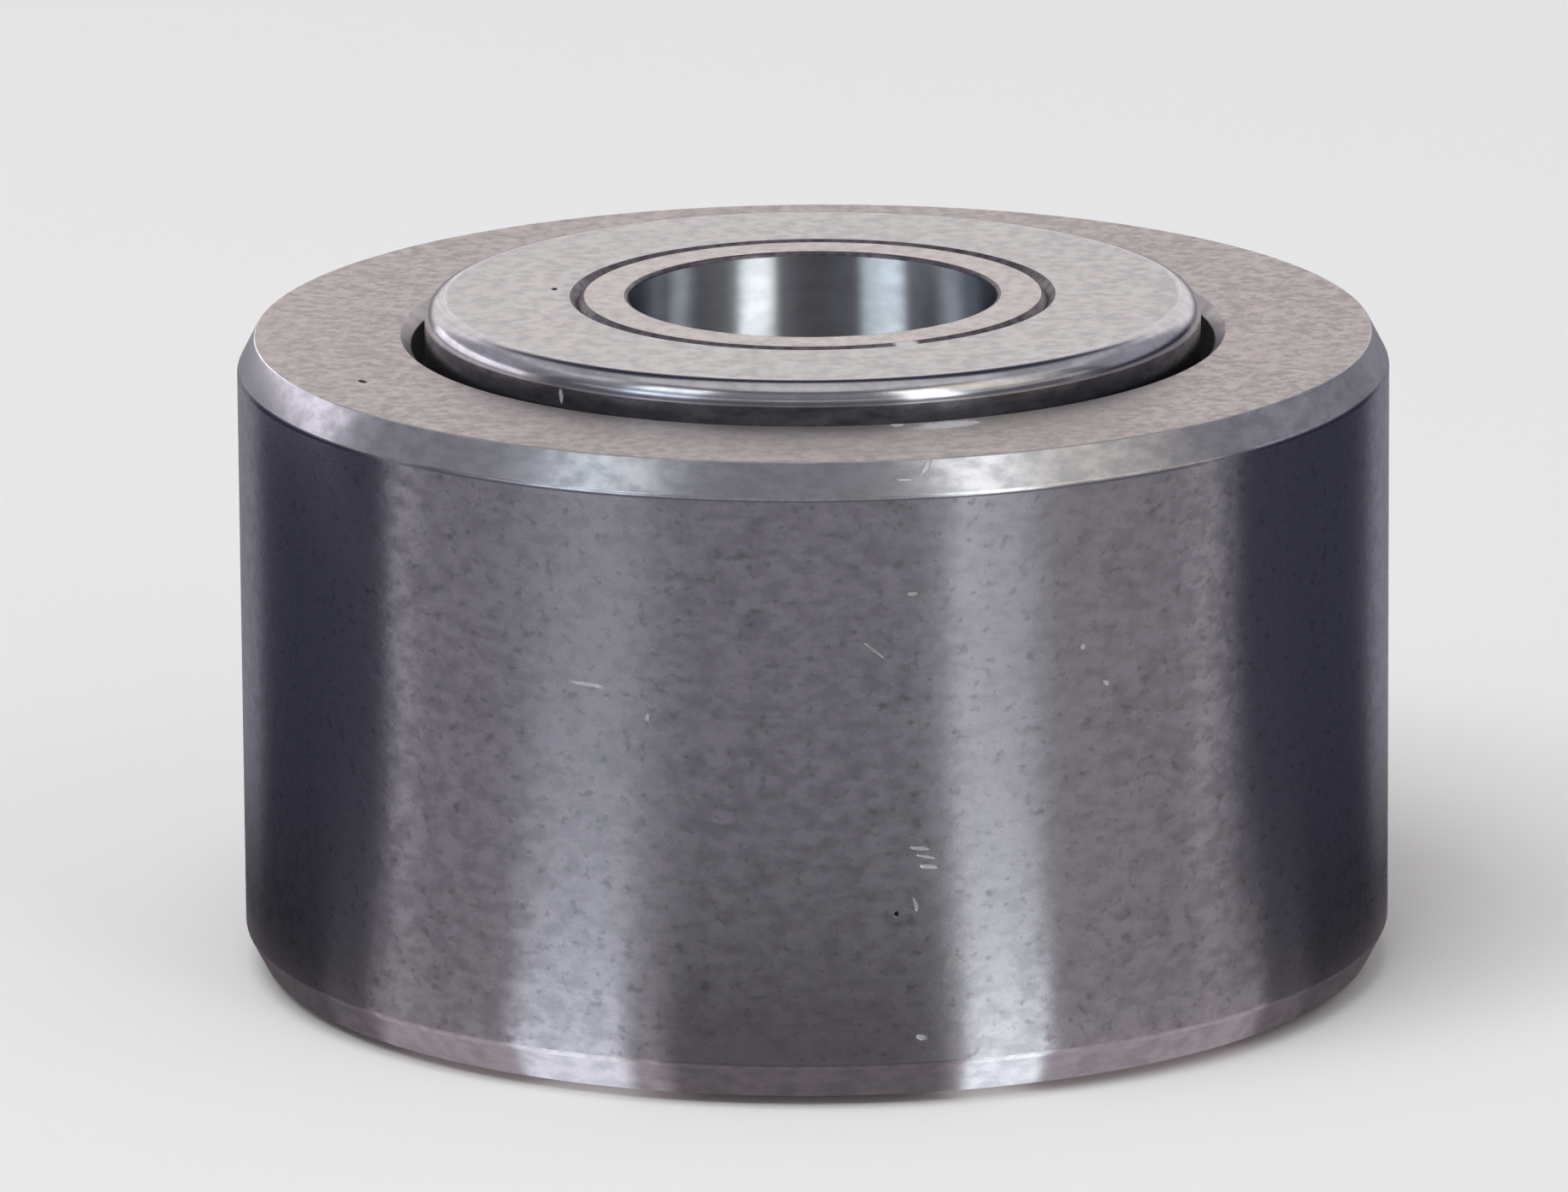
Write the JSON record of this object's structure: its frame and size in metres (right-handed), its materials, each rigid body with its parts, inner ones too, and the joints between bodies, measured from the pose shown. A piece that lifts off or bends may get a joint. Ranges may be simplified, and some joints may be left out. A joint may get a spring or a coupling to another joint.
{
  "type": "cam follower",
  "caption": "Yoke-type cam follower: thick chamfered outer ring rolling on caged needles round a plain-bore inner ring with two pressed-on end plates.",
  "frame": {"origin": "middle of the bore, half way along the overall width over the two end plates", "axes": "+Z along the bore, up as the follower lies on its lower end plate; +X through the inner ring's oil hole"},
  "size_m": [0.025, 0.025, 0.0148],
  "materials": {
    "outer_ring_steel": "ground bearing steel, satin tread with a soft reflection, matte ground end faces",
    "inner_ring_steel": "ground bearing steel with a polished bore",
    "end_plate_steel": "fine ground face with a polished rounded rim",
    "cage_steel": "plain oiled sheet steel",
    "needle_steel": "polished bearing steel"
  },
  "bodies": {
    "inner_assembly": {"inner_ring": "inner_ring_steel", "upper_end_plate": "end_plate_steel", "lower_end_plate": "end_plate_steel"},
    "outer_ring": {"outer_ring": "outer_ring_steel"},
    "cage": {"cage": "cage_steel"},
    "needle_01": {"needle_01": "needle_steel"},
    "needle_02": {"needle_02": "needle_steel"},
    "needle_03": {"needle_03": "needle_steel"},
    "needle_04": {"needle_04": "needle_steel"},
    "needle_05": {"needle_05": "needle_steel"},
    "needle_06": {"needle_06": "needle_steel"},
    "needle_07": {"needle_07": "needle_steel"},
    "needle_08": {"needle_08": "needle_steel"},
    "needle_09": {"needle_09": "needle_steel"},
    "needle_10": {"needle_10": "needle_steel"},
    "needle_11": {"needle_11": "needle_steel"},
    "needle_12": {"needle_12": "needle_steel"},
    "needle_13": {"needle_13": "needle_steel"},
    "needle_14": {"needle_14": "needle_steel"},
    "needle_15": {"needle_15": "needle_steel"},
    "needle_16": {"needle_16": "needle_steel"}
  },
  "joints": [
    {"name": "outer_ring_spin", "type": "hinge", "parent": "inner_assembly", "child": "outer_ring", "pos_m": [0, 0, 0], "axis": [0, 0, 1], "continuous": true},
    {"name": "cage_orbit", "type": "hinge", "parent": "inner_assembly", "child": "cage", "pos_m": [0, 0, 0], "axis": [0, 0, 1], "continuous": true},
    {"name": "needle_01_spin", "type": "hinge", "parent": "cage", "child": "needle_01", "pos_m": [0.007, 0, 0], "axis": [0, 0, 1], "continuous": true},
    {"name": "needle_02_spin", "type": "hinge", "parent": "cage", "child": "needle_02", "pos_m": [0.00647, 0.00268, 0], "axis": [0, 0, 1], "continuous": true},
    {"name": "needle_03_spin", "type": "hinge", "parent": "cage", "child": "needle_03", "pos_m": [0.00495, 0.00495, 0], "axis": [0, 0, 1], "continuous": true},
    {"name": "needle_04_spin", "type": "hinge", "parent": "cage", "child": "needle_04", "pos_m": [0.00268, 0.00647, 0], "axis": [0, 0, 1], "continuous": true},
    {"name": "needle_05_spin", "type": "hinge", "parent": "cage", "child": "needle_05", "pos_m": [0, 0.007, 0], "axis": [0, 0, 1], "continuous": true},
    {"name": "needle_06_spin", "type": "hinge", "parent": "cage", "child": "needle_06", "pos_m": [-0.00268, 0.00647, 0], "axis": [0, 0, 1], "continuous": true},
    {"name": "needle_07_spin", "type": "hinge", "parent": "cage", "child": "needle_07", "pos_m": [-0.00495, 0.00495, 0], "axis": [0, 0, 1], "continuous": true},
    {"name": "needle_08_spin", "type": "hinge", "parent": "cage", "child": "needle_08", "pos_m": [-0.00647, 0.00268, 0], "axis": [0, 0, 1], "continuous": true},
    {"name": "needle_09_spin", "type": "hinge", "parent": "cage", "child": "needle_09", "pos_m": [-0.007, 0, 0], "axis": [0, 0, 1], "continuous": true},
    {"name": "needle_10_spin", "type": "hinge", "parent": "cage", "child": "needle_10", "pos_m": [-0.00647, -0.00268, 0], "axis": [0, 0, 1], "continuous": true},
    {"name": "needle_11_spin", "type": "hinge", "parent": "cage", "child": "needle_11", "pos_m": [-0.00495, -0.00495, 0], "axis": [0, 0, 1], "continuous": true},
    {"name": "needle_12_spin", "type": "hinge", "parent": "cage", "child": "needle_12", "pos_m": [-0.00268, -0.00647, 0], "axis": [0, 0, 1], "continuous": true},
    {"name": "needle_13_spin", "type": "hinge", "parent": "cage", "child": "needle_13", "pos_m": [0, -0.007, 0], "axis": [0, 0, 1], "continuous": true},
    {"name": "needle_14_spin", "type": "hinge", "parent": "cage", "child": "needle_14", "pos_m": [0.00268, -0.00647, 0], "axis": [0, 0, 1], "continuous": true},
    {"name": "needle_15_spin", "type": "hinge", "parent": "cage", "child": "needle_15", "pos_m": [0.00495, -0.00495, 0], "axis": [0, 0, 1], "continuous": true},
    {"name": "needle_16_spin", "type": "hinge", "parent": "cage", "child": "needle_16", "pos_m": [0.00647, -0.00268, 0], "axis": [0, 0, 1], "continuous": true}
  ],
  "couplings": [
    {"joint": "cage_orbit", "follows": "outer_ring_spin", "ratio": 0.57143},
    {"joint": "needle_01_spin", "follows": "outer_ring_spin", "ratio": 3.4286},
    {"joint": "needle_02_spin", "follows": "outer_ring_spin", "ratio": 3.4286},
    {"joint": "needle_03_spin", "follows": "outer_ring_spin", "ratio": 3.4286},
    {"joint": "needle_04_spin", "follows": "outer_ring_spin", "ratio": 3.4286},
    {"joint": "needle_05_spin", "follows": "outer_ring_spin", "ratio": 3.4286},
    {"joint": "needle_06_spin", "follows": "outer_ring_spin", "ratio": 3.4286},
    {"joint": "needle_07_spin", "follows": "outer_ring_spin", "ratio": 3.4286},
    {"joint": "needle_08_spin", "follows": "outer_ring_spin", "ratio": 3.4286},
    {"joint": "needle_09_spin", "follows": "outer_ring_spin", "ratio": 3.4286},
    {"joint": "needle_10_spin", "follows": "outer_ring_spin", "ratio": 3.4286},
    {"joint": "needle_11_spin", "follows": "outer_ring_spin", "ratio": 3.4286},
    {"joint": "needle_12_spin", "follows": "outer_ring_spin", "ratio": 3.4286},
    {"joint": "needle_13_spin", "follows": "outer_ring_spin", "ratio": 3.4286},
    {"joint": "needle_14_spin", "follows": "outer_ring_spin", "ratio": 3.4286},
    {"joint": "needle_15_spin", "follows": "outer_ring_spin", "ratio": 3.4286},
    {"joint": "needle_16_spin", "follows": "outer_ring_spin", "ratio": 3.4286}
  ]
}
